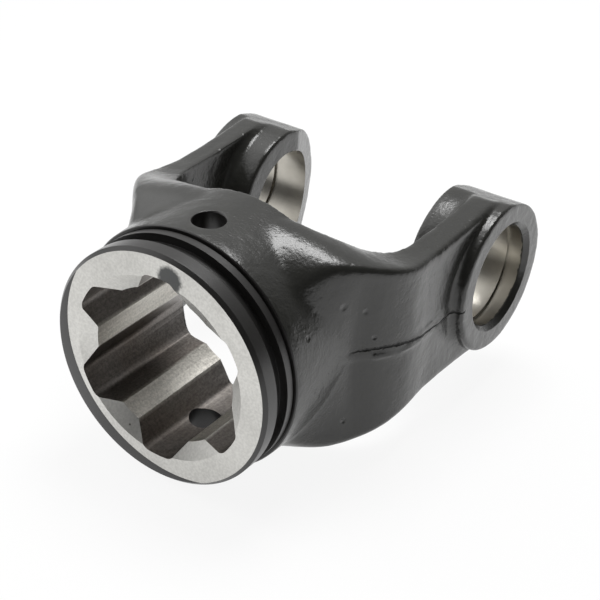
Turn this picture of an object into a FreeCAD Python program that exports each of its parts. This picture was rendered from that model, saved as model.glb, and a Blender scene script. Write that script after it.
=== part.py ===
"""Forged driveline yoke: a hub with a six-lobed bore and a two-eared fork.

One steel forging, machined where it meets other parts.  Millimetres, +Z up.
The origin is where the hub axis (X) crosses the axis of the cross bores (Y).
The hub face looks towards -X, the ears reach towards +X.
"""
import FreeCAD, Part
import math
import os

V = FreeCAD.Vector

# ---- cross kit the fork takes (27 mm caps, 74.6 mm over the caps) -----------
CAP_D = 27.0
CAP_SPAN = 74.6
BORE_FIT = 0.0                  # cap is a press fit, so the bore is cap size
RING_T = 1.5                    # snap ring thickness
RING_DEPTH = 0.75               # groove depth beyond the bore wall
RING_INSET = 1.0                # inner groove wall in from the cap end
GROOVE_Y = CAP_SPAN / 2 - RING_INSET
BORE_R = (CAP_D + BORE_FIT) / 2
BORE_CHAMFER = 1.25
BORE_CHAMFER_IN = 0.5

# ---- ears ------------------------------------------------------------------
EAR_OUT = 42.0                  # outer ring face, from the middle plane
EAR_IN = 24.5                   # inner ring face
EAR_BODY_R = 21.0               # ear height above the parting plane
EAR_END_R = 19.3                # round end of the ear
EAR_END_DEG = 74.0              # where the round end passes into the top
EAR_TOP_FROM = -2.0             # flat top of the ear runs from here
EAR_TOP_TO = -15.0              # to here, where the arm takes over
NOSE_X = 20.9                   # tip where the die halves meet
RING_OUT_R = 20.0               # outer ring face radius
RING_IN_R = 20.0                # inner ring face radius
RING_EDGE = 0.6                 # bevel round the edge of both ring faces
BOSS_SPREAD = 2.8               # how far the outer ring's root runs out over the arm
BOSS_RISE = 2.4                 # height of that hollow root
BOSS_SHIFT = 2.0                # the root is centred this much nearer the hub
BOSS_IN_SPREAD = 2.0
BOSS_IN_RISE = 3.4
BOSS_IN_SHIFT = 1.2
ROOT_TUCK = 0.15                # the root's inner end hides this far inside the ring
BOSS_STEPS = 6                  # turned steps that make the hollow root
TIP_BEVEL_X = 4.6               # inner face falls away beyond this
TIP_BEVEL_DEG = 18.0

# ---- fork arms --------------------------------------------------------------
ARM_IN = 31.2                   # inner wall of the arms at the parting plane
ARM_IN_LAP = 0.4                # the inner ring's root starts this far inside the wall
ARM_SIDE = 38.7                 # outer side of the arm under the ring
SLOT_FLOOR = -51.1              # floor of the fork at the parting plane
SLOT_CORNER_R = 21.0
DRAFT_DEG = 3.0
SLOT_TOP = 36.0                 # reach of the slot cutter above the parting plane

# ---- hub --------------------------------------------------------------------
HUB_R = 31.35
HUB_END = -86.8                 # hub face
HUB_REACH = -48.0               # the round hub runs on this far inside the fork root
SHOULDER_X = -75.8
LIP_R = 30.4
LIP_BACK = -82.4
FACE_CHAMFER = 0.9
GUARD_GROOVE_R = 28.3
LAND_X = -78.4
LAND_BACK = -76.3
RELIEF_R = 29.9
SHOULDER_CHAMFER = 0.4

# unmachined skin left on one side of the hub face
SKIN_DIR_DEG = 140.0
SKIN_OFFSET = 5.6
SKIN_R = 31.3
SKIN_FALL = 0.55                # how far it falls back at the rim
SKIN_RUN = 4.2

# ---- six-lobed bore -----------------------------------------------------------
LOBES = 6
TOOTH_R = 19.7                  # circle the tooth tips lie on
LOBE_R = 24.3                   # circle the lobe floors lie on
LOBE_HALF_ROOT = 7.6            # half width of a lobe at the tooth circle
LOBE_ROOT_X = 18.0
LOBE_HALF_TIP = 3.9             # half width where the flank meets the floor
LOBE_CORNER_R = 2.6
LOBE_FIRST_DEG = 30.0
SINK_R = 23.6                   # countersink at the hub face
SINK_HALF_DEG = 60.0

# ---- spring pin hole ------------------------------------------------------------
PIN_D = 8.0
PIN_FIT = 0.1
PIN_X = -68.1
PIN_CHAMFER = 0.5

# ---- how far the cutters reach past the metal ---------------------------------------
OPEN_REACH = 60.0

# ---- trimmed flash ---------------------------------------------------------------
FLASH_H = 2.2
FLASH_PROUD = 0.35
FLASH_LOW = 0.5                 # middle of the trimmed band below the plane
FLASH_FROM = -57.0
FLASH_TO = -21.0


class Station:
    """One cross-section of the forged blank, a rounded box seen along X."""

    FIELDS = ("side", "crown", "corner_y", "corner_z", "corner_r")

    def __init__(self, x, side, crown, corner_y, corner_z, corner_r, top_deg=56.0, side_deg=8.0):
        self.x = x
        self.side = side
        self.crown = crown
        self.corner_y = corner_y
        self.corner_z = corner_z
        self.corner_r = corner_r
        self.top_deg = top_deg
        self.side_deg = side_deg

    def corner_point(self, deg):
        a = math.radians(deg)
        return (self.corner_y + self.corner_r * math.cos(a),
                self.corner_z + self.corner_r * math.sin(a))

    def wire(self, grow=0.0):
        mid_deg = (self.top_deg + self.side_deg) / 2
        edges = []
        corners = []
        for sy, sz in ((1, 1), (-1, 1), (-1, -1), (1, -1)):
            pts = []
            for deg in (self.side_deg, mid_deg, self.top_deg):
                y, z = self.corner_point(deg)
                pts.append(V(self.x, sy * (y + grow), sz * z))
            corners.append(pts)
        crown = self.crown
        side = self.side + grow
        for i in range(4):
            a, m, b = corners[i]
            if i % 2 == 1:
                a, b = b, a
            edges.append(Part.Arc(a, m, b).toShape())
            nxt = corners[(i + 1) % 4]
            if i % 2 == 0:
                top = V(self.x, 0, crown if i == 0 else -crown)
                edges.append(Part.Arc(b, top, nxt[2]).toShape())
            else:
                flank = V(self.x, -side if i == 1 else side, 0)
                edges.append(Part.Arc(b, flank, nxt[0]).toShape())
        return Part.Wire(edges)


# The shoulders rise out of the round hub, widen to the fork and thin to the ears.
SECTIONS = (
    Station(-73.0, 25.0, 26.0, 18.6, 15.4, 3.4),
    Station(-70.0, 27.0, 27.4, 20.2, 16.9, 3.6),
    Station(-67.0, 28.4, 28.6, 21.3, 18.8, 3.7),
    Station(-64.0, 29.4, 29.4, 22.6, 20.6, 3.8),
    Station(-61.0, 30.2, 30.0, 24.5, 21.9, 3.8),
    Station(-57.8, 30.9, 30.4, 27.4, 22.3, 3.6),
    Station(-53.8, 31.9, 30.0, 30.9, 21.9, 3.0),
    Station(-49.5, 35.7, 28.0, 34.0, 20.7, 2.8),
    Station(-44.7, 38.2, 24.4, 36.2, 19.4, 2.6),
    Station(-39.0, 39.5, 22.0, 37.3, 18.2, 2.3),
    Station(-30.0, 39.1, 21.5, 36.9, 17.6, 2.2),
    Station(-18.0, 38.8, 21.6, 36.9, 17.9, 2.2),
    Station(0.0, 39.2, 22.0, 36.2, 18.3, 3.2),
    Station(24.0, 39.2, 22.0, 36.2, 18.3, 3.2),
)
STEP_FINE = 1.6                 # longest gap between sections in the curved root
STEP_COARSE = 6.0               # and along the straight arms
ROOT_END = -38.0


def turned(profile):
    """Solid of revolution about X from (x, r) corners."""
    pts = [V(x, 0, r) for x, r in profile]
    pts.append(pts[0])
    face = Part.Face(Part.makePolygon(pts))
    return face.revolve(V(0, 0, 0), V(1, 0, 0), 360)


def turned_about_y(profile):
    """Solid of revolution about Y from (y, r) corners."""
    pts = [V(0, y, r) for y, r in profile]
    pts.append(pts[0])
    face = Part.Face(Part.makePolygon(pts))
    return face.revolve(V(0, 0, 0), V(0, 1, 0), 360)


def mirrored(shape):
    return shape.mirror(V(0, 0, 0), V(0, 1, 0))


def smooth_between(a, b, before, after, t):
    """Cubic through a and b whose slopes follow the stations before and after."""
    out = []
    for name in Station.FIELDS:
        p0, p1, p2, p3 = [getattr(s, name) for s in (before, a, b, after)]
        x0, x1, x2, x3 = [s.x for s in (before, a, b, after)]
        step = x2 - x1
        m1 = (p2 - p0) / (x2 - x0) * step
        m2 = (p3 - p1) / (x3 - x1) * step
        low, high = min(p1, p2), max(p1, p2)
        value = ((2 * t ** 3 - 3 * t ** 2 + 1) * p1 + (t ** 3 - 2 * t ** 2 + t) * m1
                 + (3 * t ** 2 - 2 * t ** 3) * p2 + (t ** 3 - t ** 2) * m2)
        out.append(min(max(value, low), high))
    return Station(a.x + (b.x - a.x) * t, *out)


def filled_sections():
    """The stations with evenly blended sections put in between them."""
    rows = []
    last = len(SECTIONS) - 1
    for i in range(last):
        a, b = SECTIONS[i], SECTIONS[i + 1]
        before = SECTIONS[max(i - 1, 0)]
        after = SECTIONS[min(i + 2, last)]
        step = STEP_FINE if a.x < ROOT_END else STEP_COARSE
        count = max(1, math.ceil((b.x - a.x) / step))
        for k in range(count):
            rows.append(a if k == 0 else smooth_between(a, b, before, after, k / count))
    rows.append(SECTIONS[last])
    return rows


def blank(grow=0.0):
    """Forged envelope of shoulders, fork and arms before anything is cut."""
    return Part.makeLoft([s.wire(grow) for s in filled_sections()], True, True)


def end_profile():
    """Side outline that gives the ears their flat top and round, slightly pointed end."""
    touch = math.acos(EAR_END_R / NOSE_X)
    start = V(EAR_END_R * math.cos(touch), 0, EAR_END_R * math.sin(touch))
    lift = math.radians(EAR_END_DEG)
    top = V(EAR_END_R * math.cos(lift), 0, EAR_END_R * math.sin(lift))
    mid_a = (touch + lift) / 2
    mid = V(EAR_END_R * math.cos(mid_a), 0, EAR_END_R * math.sin(mid_a))
    flat_start = V(EAR_TOP_FROM, 0, EAR_BODY_R)
    flat_end = V(EAR_TOP_TO, 0, EAR_BODY_R)
    high = V(flat_end.x, 0, OPEN_REACH)
    far = V(HUB_END - 10, 0, OPEN_REACH)
    edges = [Part.makeLine(V(NOSE_X, 0, 0), start),
             Part.Arc(start, mid, top).toShape(),
             Part.makeLine(top, flat_start),
             Part.makeLine(flat_start, flat_end),
             Part.makeLine(flat_end, high),
             Part.makeLine(high, far),
             Part.makeLine(far, V(far.x, 0, 0))]
    lower = [e.mirror(V(0, 0, 0), V(0, 0, 1)) for e in edges]
    wire = Part.Wire(Part.__sortEdges__(edges + lower))
    face = Part.Face(wire)
    face.translate(V(0, -OPEN_REACH, 0))
    return face.extrude(V(0, 2 * OPEN_REACH, 0))


def ring(root_y, face_y, ring_r):
    """Plain turned ring with a bevelled face edge."""
    out = 1 if face_y > root_y else -1
    mid = (EAR_OUT + EAR_IN) / 2
    return turned_about_y([(mid, 0), (mid, ring_r), (face_y - out * RING_EDGE, ring_r),
                           (face_y, ring_r - RING_EDGE), (face_y, 0)])


def ring_root(root_y, outward, ring_r, spread, rise, shift):
    """Hollow root that leads the arm up to a ring, fullest on the hub side."""
    mid = (EAR_OUT + EAR_IN) / 2
    inner_r = ring_r - shift - ROOT_TUCK
    prof = [(mid, 0), (mid, inner_r + spread)]
    for k in range(BOSS_STEPS + 1):
        a = math.radians(90.0 * k / BOSS_STEPS)
        prof.append((root_y + outward * rise * (1 - math.cos(a)),
                     inner_r + spread * (1 - math.sin(a))))
    prof.append((root_y + outward * rise, 0))
    root = turned_about_y(prof)
    root.translate(V(-shift, 0, 0))
    return root


def ear_bosses():
    """Raised rings round the bore, on the outer and inner side of one ear."""
    wall = ARM_IN + ARM_IN_LAP
    parts = [ring(ARM_SIDE, EAR_OUT, RING_OUT_R),
             ring(wall, EAR_IN, RING_IN_R),
             ring_root(ARM_SIDE, 1, RING_OUT_R, BOSS_SPREAD, BOSS_RISE, BOSS_SHIFT),
             ring_root(wall, -1, RING_IN_R, BOSS_IN_SPREAD, BOSS_IN_RISE, BOSS_IN_SHIFT)]
    return parts[0].multiFuse(parts[1:])


def slot_wire(z, grow):
    """Plan outline of the fork space at height z: flat floor, round corners, open end."""
    half = ARM_IN + grow
    floor_x = SLOT_FLOOR - grow
    r = SLOT_CORNER_R
    cx = floor_x + r
    cut = r * math.sqrt(0.5)
    far = OPEN_REACH
    bend = Part.Arc(V(cx, half, z), V(cx - cut, half - r + cut, z), V(floor_x, half - r, z))
    back = Part.Arc(V(floor_x, r - half, z), V(cx - cut, r - half - cut, z), V(cx, -half, z))
    return Part.Wire([bend.toShape(),
                      Part.makeLine(V(floor_x, half - r, z), V(floor_x, r - half, z)),
                      back.toShape(),
                      Part.makeLine(V(cx, -half, z), V(far, -half, z)),
                      Part.makeLine(V(far, -half, z), V(far, half, z)),
                      Part.makeLine(V(far, half, z), V(cx, half, z))])


def fork_slot():
    """Space between the arms, opening outwards from the parting plane."""
    grow = SLOT_TOP * math.tan(math.radians(DRAFT_DEG))
    upper = Part.makeLoft([slot_wire(0, 0), slot_wire(SLOT_TOP, grow)], True, True)
    lower = Part.makeLoft([slot_wire(-SLOT_TOP, grow), slot_wire(0, 0)], True, True)
    return upper.fuse(lower)


def tip_bevel():
    """Wedge that takes the inner ring face back towards the ear tip."""
    run = OPEN_REACH
    rise = run * math.tan(math.radians(TIP_BEVEL_DEG))
    pts = [V(TIP_BEVEL_X, EAR_IN, -OPEN_REACH), V(TIP_BEVEL_X + run, EAR_IN + rise, -OPEN_REACH),
           V(TIP_BEVEL_X + run, 0, -OPEN_REACH), V(TIP_BEVEL_X, 0, -OPEN_REACH)]
    pts.append(pts[0])
    return Part.Face(Part.makePolygon(pts)).extrude(V(0, 0, 2 * OPEN_REACH))


def flash_band():
    """Low rib left where the flash was trimmed along the outer sides."""
    length = FLASH_TO - FLASH_FROM
    band = Part.makeBox(length, 2 * OPEN_REACH, FLASH_H,
                        V(FLASH_FROM, -OPEN_REACH, -FLASH_LOW - FLASH_H / 2))
    return blank(FLASH_PROUD).common(band)


def hub_blank():
    """Round hub, whole, from its face to well inside the root of the fork."""
    return turned([(HUB_END, 0), (HUB_END, HUB_R), (HUB_REACH, HUB_R), (HUB_REACH, 0)])


def collar_cutter():
    """Everything turned off the outside of the hub between face and shoulder."""
    big = HUB_R + 5
    return turned([(HUB_END - 1, LIP_R - FACE_CHAMFER - 1), (HUB_END + FACE_CHAMFER, LIP_R),
                   (LIP_BACK, LIP_R), (LIP_BACK, GUARD_GROOVE_R), (LAND_X, GUARD_GROOVE_R),
                   (LAND_X, LIP_R), (LAND_BACK, LIP_R), (LAND_BACK, RELIEF_R),
                   (SHOULDER_X, RELIEF_R), (SHOULDER_X, HUB_R - SHOULDER_CHAMFER),
                   (SHOULDER_X + SHOULDER_CHAMFER + 1, HUB_R + 1),
                   (SHOULDER_X + SHOULDER_CHAMFER + 1, big), (HUB_END - 1, big)])


def face_skin_cutter():
    """Shallow off-centre cone: the part of the hub face the facing cut missed."""
    a = math.radians(SKIN_DIR_DEG)
    cy = SKIN_OFFSET * math.cos(a)
    cz = SKIN_OFFSET * math.sin(a)
    slope = SKIN_FALL / SKIN_RUN
    outer = SKIN_R + 12
    prof = [V(HUB_END, 0, SKIN_R), V(HUB_END + 12 * slope, 0, outer),
            V(HUB_END - 2, 0, outer), V(HUB_END - 2, 0, SKIN_R)]
    prof.append(prof[0])
    cone = Part.Face(Part.makePolygon(prof)).revolve(V(0, 0, 0), V(1, 0, 0), 360)
    cone.translate(V(0, cy, cz))
    return cone


def lobe_prism(x0, length):
    """One lobe of the bore, pointing along +Y, rounded where flank meets floor."""
    floor_y = math.sqrt(LOBE_R ** 2 - LOBE_HALF_TIP ** 2)
    pts = [V(x0, 0, -LOBE_HALF_ROOT * 0.6), V(x0, LOBE_ROOT_X, -LOBE_HALF_ROOT),
           V(x0, floor_y, -LOBE_HALF_TIP)]
    right = [Part.makeLine(pts[0], pts[1]), Part.makeLine(pts[1], pts[2])]
    left = [e.mirror(V(0, 0, 0), V(0, 0, 1)) for e in right]
    floor = Part.Arc(pts[2], V(x0, LOBE_R, 0), V(x0, pts[2].y, LOBE_HALF_TIP)).toShape()
    back = Part.makeLine(V(x0, 0, LOBE_HALF_ROOT * 0.6), pts[0])
    wire = Part.Wire(Part.__sortEdges__(right + [floor] + left + [back]))
    prism = Part.Face(wire).extrude(V(length, 0, 0))
    corners = [e for e in prism.Edges
               if abs(e.Length - length) < 1e-6
               and abs(abs(e.Vertexes[0].Z) - LOBE_HALF_TIP) < 1e-6]
    return prism.makeFillet(LOBE_CORNER_R, corners)


def star_bore():
    x0 = HUB_END - 2
    length = SLOT_FLOOR + 5 - x0
    core = Part.makeCylinder(TOOTH_R, length, V(x0, 0, 0), V(1, 0, 0))
    lobe = lobe_prism(x0, length)
    tools = [core]
    for i in range(LOBES):
        one = lobe.copy()
        one.rotate(V(0, 0, 0), V(1, 0, 0), LOBE_FIRST_DEG + i * 360.0 / LOBES)
        tools.append(one)
    spread = math.tan(math.radians(SINK_HALF_DEG))
    sink = Part.makeCone(SINK_R + 2 * spread, 0.0, 2 + SINK_R / spread,
                         V(HUB_END - 2, 0, 0), V(1, 0, 0))
    tools.append(sink)
    bore = tools[0].multiFuse(tools[1:])
    return bore.removeSplitter()


def pin_hole():
    r = (PIN_D + PIN_FIT) / 2
    hole = Part.makeCylinder(r, 2 * OPEN_REACH, V(PIN_X, 0, -OPEN_REACH), V(0, 0, 1))
    top = Part.makeCone(r, r + 2, 2, V(PIN_X, 0, HUB_R - PIN_CHAMFER), V(0, 0, 1))
    low = Part.makeCone(r + 2, r, 2, V(PIN_X, 0, -HUB_R + PIN_CHAMFER - 2), V(0, 0, 1))
    return hole.fuse(top).fuse(low)


def cross_bore():
    """Bore through both ears with its chamfers and snap ring grooves."""
    bore = Part.makeCylinder(BORE_R, 2 * OPEN_REACH, V(0, -OPEN_REACH, 0), V(0, 1, 0))
    rim = BORE_R + BORE_CHAMFER
    mouth = turned_about_y([(EAR_OUT - BORE_CHAMFER, 0), (EAR_OUT - BORE_CHAMFER, BORE_R),
                            (EAR_OUT, rim), (EAR_OUT + 1, rim + 1), (EAR_OUT + 1, 0)])
    inside = turned_about_y([(EAR_IN + BORE_CHAMFER_IN, 0), (EAR_IN + BORE_CHAMFER_IN, BORE_R),
                             (EAR_IN - 1, BORE_R + BORE_CHAMFER_IN + 1), (EAR_IN - 1, 0)])
    groove = Part.makeCylinder(BORE_R + RING_DEPTH, RING_T, V(0, GROOVE_Y, 0), V(0, 1, 0))
    one_side = mouth.fuse(inside).fuse(groove)
    return bore.multiFuse([one_side, mirrored(one_side)])


def build():
    body = blank().fuse(hub_blank())
    body = body.fuse(flash_band())
    body = body.cut(fork_slot())
    bosses = ear_bosses()
    body = body.multiFuse([bosses, mirrored(bosses)])
    body = body.common(end_profile())
    wedge = tip_bevel()
    body = body.cut(wedge).cut(mirrored(wedge))
    body = body.cut(collar_cutter())
    body = body.cut(face_skin_cutter())
    body = body.cut(star_bore())
    body = body.cut(pin_hole())
    body = body.cut(cross_bore())
    return body.removeSplitter()


shape = build()
if shape.ShapeType != "Solid" and len(shape.Solids) == 1:
    shape = shape.Solids[0]
print("valid", shape.isValid(), "solids", len(shape.Solids), "volume", round(shape.Volume))
box = shape.BoundBox
print("size", round(box.XLength, 1), round(box.YLength, 1), round(box.ZLength, 1))
os.makedirs("parts", exist_ok=True)
shape.exportStep("parts/forged_yoke.step")
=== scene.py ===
import logging
import math
from dataclasses import dataclass
from enum import Enum
from typing import Callable

import bpy
from mathutils import Matrix, Vector


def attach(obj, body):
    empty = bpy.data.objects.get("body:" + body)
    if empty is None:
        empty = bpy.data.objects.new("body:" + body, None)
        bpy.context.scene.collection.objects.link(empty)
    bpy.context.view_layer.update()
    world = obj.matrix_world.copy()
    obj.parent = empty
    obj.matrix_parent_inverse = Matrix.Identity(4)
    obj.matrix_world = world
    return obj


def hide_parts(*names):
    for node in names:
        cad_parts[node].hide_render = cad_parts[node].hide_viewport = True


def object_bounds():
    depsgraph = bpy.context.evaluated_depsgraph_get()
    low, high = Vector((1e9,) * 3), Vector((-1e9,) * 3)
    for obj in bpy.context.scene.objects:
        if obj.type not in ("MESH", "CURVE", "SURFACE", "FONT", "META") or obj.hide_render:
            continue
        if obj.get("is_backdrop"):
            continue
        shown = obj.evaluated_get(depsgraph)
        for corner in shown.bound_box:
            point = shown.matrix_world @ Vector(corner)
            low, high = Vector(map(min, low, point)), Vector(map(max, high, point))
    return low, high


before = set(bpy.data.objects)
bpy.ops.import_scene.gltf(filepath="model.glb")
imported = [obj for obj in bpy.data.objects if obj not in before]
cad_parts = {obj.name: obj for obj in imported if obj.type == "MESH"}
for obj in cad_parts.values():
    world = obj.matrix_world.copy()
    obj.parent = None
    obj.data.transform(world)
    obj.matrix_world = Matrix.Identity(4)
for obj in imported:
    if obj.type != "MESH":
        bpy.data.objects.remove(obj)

# Looks of the forged driveline yoke: a black-painted forging with turned, broached and bored
# steel.  The blank is made soft, as it leaves the dies, and is then cut with the same tools as
# the real one: collar, hub face, lobed bore, pin hole and ear bores.

log = logging.getLogger("yoke")
MM = 0.001
ORIGIN = Vector((0.0, 0.0, 0.0))
NEAR_M = 1e-6                       # points closer than this, in metres, are one place
WIDE = (0.3, 0.7)                   # span of a noise's usual values
NARROW = (0.35, 0.65)               # a tighter span, which gives a grain more contrast

# Sizes of the solid that several tools and finishes share, in mm.
HUB_END = -86.8                     # faced front of the hub
HUB_R = 31.35                       # hub behind the collar
TOOTH_R = 19.7                      # crests of the lobed bore
PIN_X = -68.1                       # axis of the cross pin hole
EAR_OUT = 42.0                      # outer faces of the ears
EAR_IN = 24.5                       # inner faces of the ears


class Along(Enum):
    """Row axis that a tool is spun about, with a direction square to it."""

    X = ((1.0, 0.0, 0.0), (0.0, 0.0, 1.0))
    Y = ((0.0, 1.0, 0.0), (0.0, 0.0, 1.0))
    Z = ((0.0, 0.0, 1.0), (1.0, 0.0, 0.0))


# ---- modelling help ----------------------------------------------------------------------


def focus(piece: bpy.types.Object) -> None:
    """Makes one object the only selected and the active one.

    Args:
        piece: the object to work on.
    """
    if bpy.context.object and bpy.context.object.mode != "OBJECT":
        bpy.ops.object.mode_set(mode="OBJECT")
    bpy.ops.object.select_all(action="DESELECT")
    piece.select_set(True)
    bpy.context.view_layer.objects.active = piece


def edit_all(piece: bpy.types.Object) -> None:
    """Enters edit mode on one object with everything in it selected.

    Args:
        piece: the object to work on.
    """
    focus(piece)
    bpy.ops.object.mode_set(mode="EDIT")
    bpy.ops.mesh.select_all(action="SELECT")


def outline_piece(name: str, points: list[Vector], closed: bool) -> bpy.types.Object:
    """Makes an object from a chain of points joined by edges.

    Args:
        name: name of the object.
        points: the points in metres.
        closed: joins the last point to the first.

    Returns:
        The new object, linked to the scene.
    """
    last = len(points) if closed else len(points) - 1
    edges = [(i, (i + 1) % len(points)) for i in range(last)]
    mesh = bpy.data.meshes.new(name)
    mesh.from_pydata(points, edges, [])
    piece = bpy.data.objects.new(name, mesh)
    bpy.context.scene.collection.objects.link(piece)
    return piece


def turned(name: str, outline: list[tuple[float, float]], along: Along, centre: Vector = ORIGIN,
           steps: int = 128, closed: bool = False) -> bpy.types.Object:
    """Spins an outline to a closed body.

    Args:
        name: name of the new object.
        outline: (distance along the axis, radius) corners in mm.
        along: axis of the spin.
        centre: a point on the axis, in metres.
        steps: steps in a full turn.
        closed: True for a ring, False for an outline that starts and ends on the axis.

    Returns:
        The closed turned body.
    """
    axis, side = (Vector(v) for v in along.value)
    points = [centre + (axis * a + side * r) * MM for a, r in outline]
    piece = outline_piece(name, points, closed)
    edit_all(piece)
    bpy.ops.mesh.spin(steps=steps, angle=math.tau, center=centre, axis=axis, use_auto_merge=True)
    bpy.ops.mesh.select_all(action="SELECT")
    bpy.ops.mesh.remove_doubles(threshold=1e-7)
    bpy.ops.mesh.select_all(action="SELECT")
    bpy.ops.mesh.normals_make_consistent(inside=False)
    bpy.ops.object.mode_set(mode="OBJECT")
    return piece


def trim(piece: bpy.types.Object, point: Vector, normal: Vector) -> None:
    """Cuts off what lies on the normal's side of a plane and closes the cut.

    Args:
        piece: the body to trim.
        point: a point of the plane, in metres.
        normal: the plane's normal.
    """
    edit_all(piece)
    bpy.ops.mesh.bisect(plane_co=point, plane_no=normal, use_fill=True, clear_outer=True)
    bpy.ops.object.mode_set(mode="OBJECT")


def apply_modifier(piece: bpy.types.Object, kind: str, **settings: object) -> None:
    """Adds a modifier, sets it and applies it.

    Args:
        piece: the object it acts on.
        kind: the modifier's type.
        **settings: its settings by name.
    """
    focus(piece)
    modifier = piece.modifiers.new(kind.lower(), kind)
    for key, value in settings.items():
        setattr(modifier, key, value)
    bpy.ops.object.modifier_apply(modifier=modifier.name)


# ---- material help -----------------------------------------------------------------------


def linear(code: str) -> tuple[float, float, float, float]:
    """Turns an sRGB hex colour to linear light.

    Args:
        code: six hex digits after a hash.

    Returns:
        Linear red, green, blue and an alpha of 1.
    """
    parts = [int(code[i:i + 2], 16) / 255 for i in (1, 3, 5)]
    red, green, blue = [c / 12.92 if c <= 0.04045 else ((c + 0.055) / 1.055) ** 2.4
                        for c in parts]
    return (red, green, blue, 1.0)


def put(tree: bpy.types.NodeTree, kind: str, wires: dict | None = None,
        **settings: object) -> bpy.types.Node:
    """Adds a node, sets it and wires its inputs.

    Args:
        tree: the node tree.
        kind: the node's type, without its prefix.
        wires: input name or number to a value, to another node's output, or to a node whose
            main output it takes.
        **settings: the node's own settings by name.

    Returns:
        The new node.
    """
    node = tree.nodes.new("ShaderNode" + kind)
    for key, value in settings.items():
        setattr(node, key, value)
    for key, value in (wires or {}).items():
        if isinstance(value, bpy.types.Node):
            value = next(output for output in value.outputs if output.enabled)
        if isinstance(value, bpy.types.NodeSocket):
            tree.links.new(value, node.inputs[key])
        else:
            node.inputs[key].default_value = value
    return node


def fresh(name: str) -> tuple[bpy.types.Material, bpy.types.NodeTree]:
    """Makes an empty node material.

    Args:
        name: name of the material.

    Returns:
        The material and its node tree.
    """
    material = bpy.data.materials.new(name)
    material.use_nodes = True
    tree = material.node_tree
    tree.nodes.clear()
    return material, tree


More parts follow.
